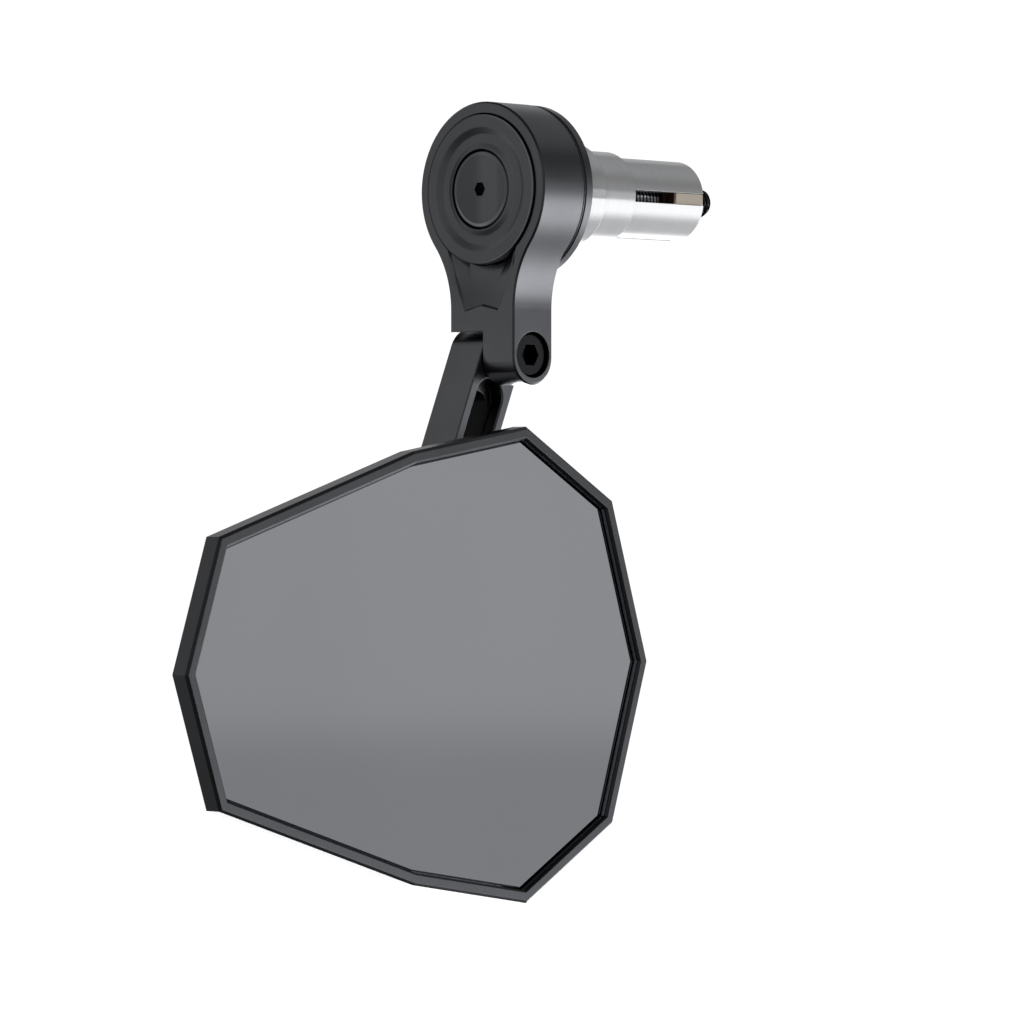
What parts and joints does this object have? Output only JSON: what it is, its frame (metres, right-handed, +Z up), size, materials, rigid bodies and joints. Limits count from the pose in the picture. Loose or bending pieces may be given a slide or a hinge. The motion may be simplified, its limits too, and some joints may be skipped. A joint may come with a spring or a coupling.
{
  "type": "motorcycle bar end mirror",
  "caption": "Bar end mirror: an expanding plug for the handlebar, a round hub that swivels, a folding slotted arm and a faceted mirror head on a sliding ball joint.",
  "frame": {"origin": "on the plug's axis, in the plane where the collar meets the end of the handlebar", "axes": "+Y along the plug into the handlebar, +X the way the mirror glass faces, +Z up with the arm hanging towards -Z"},
  "size_m": [0.035, 0.1559, 0.1589],
  "materials": {
    "arm_black": "fine satin black anodising",
    "housing_black": "satin black anodising",
    "plug_aluminium": "turned, plain",
    "cone_brass": "turned, dull",
    "steel_black": "black oxide",
    "steel_plain": "ground",
    "slip_plastic": "plain",
    "pad_foam": "foam tape",
    "mirror_silver": "flat silvered glass"
  },
  "bodies": {
    "plug": {"hub_flange": "arm_black", "expander_sleeve": "plug_aluminium", "bolt_washer": "steel_black", "centre_cap": "arm_black", "cover_disc": "arm_black", "inner_friction_ring": "slip_plastic", "outer_friction_ring": "slip_plastic"},
    "expander_bolt": {"expander_bolt": "steel_black"},
    "cone": {"cone_nut": "cone_brass"},
    "arm": {"upper_arm": "arm_black", "hinge_screw": "steel_black", "hinge_spring_washer": "steel_black", "hinge_barrel_nut": "steel_black", "hinge_friction_washer": "slip_plastic"},
    "lower": {"lower_arm": "arm_black"},
    "slider": {"ball_slider": "steel_plain", "clamp_washer": "steel_black", "clamp_screw": "steel_black"},
    "liner": {"ball_liner": "slip_plastic"},
    "mirror": {"mirror_shell": "housing_black", "mirror_glass": "mirror_silver", "glass_pad": "pad_foam", "clamp_ring": "housing_black"}
  },
  "joints": [
    {"name": "arm_swivel", "type": "hinge", "parent": "plug", "child": "arm", "pos_m": [0, 0, 0], "axis": [0, 1, 0], "continuous": true},
    {"name": "arm_fold", "type": "hinge", "parent": "arm", "child": "lower", "pos_m": [0, -0.01945, -0.03305], "axis": [-1, 0, 0], "range_deg": [-80, 55]},
    {"name": "mirror_slide", "type": "slide", "parent": "lower", "child": "slider", "axis": [0, 0.3811, 0.9245], "range_m": [-0.006, 0.007]},
    {"name": "mirror_pan", "type": "hinge", "parent": "slider", "child": "liner", "pos_m": [0.005, -0.04475, -0.09444], "axis": [0, 0, 1], "range_deg": [-12, 8]},
    {"name": "mirror_tilt", "type": "hinge", "parent": "liner", "child": "mirror", "pos_m": [0.005, -0.04475, -0.09444], "axis": [0, 1, 0], "range_deg": [-8, 12]},
    {"name": "expander_turn", "type": "hinge", "parent": "plug", "child": "expander_bolt", "pos_m": [0, 0, 0], "axis": [0, -1, 0], "range_deg": [0, 1080]},
    {"name": "cone_slide", "type": "slide", "parent": "plug", "child": "cone", "axis": [0, 1, 0], "range_m": [0, 0.003]}
  ],
  "couplings": [
    {"joint": "expander_turn", "follows": "cone_slide", "rad_per_m": 6283.2}
  ]
}
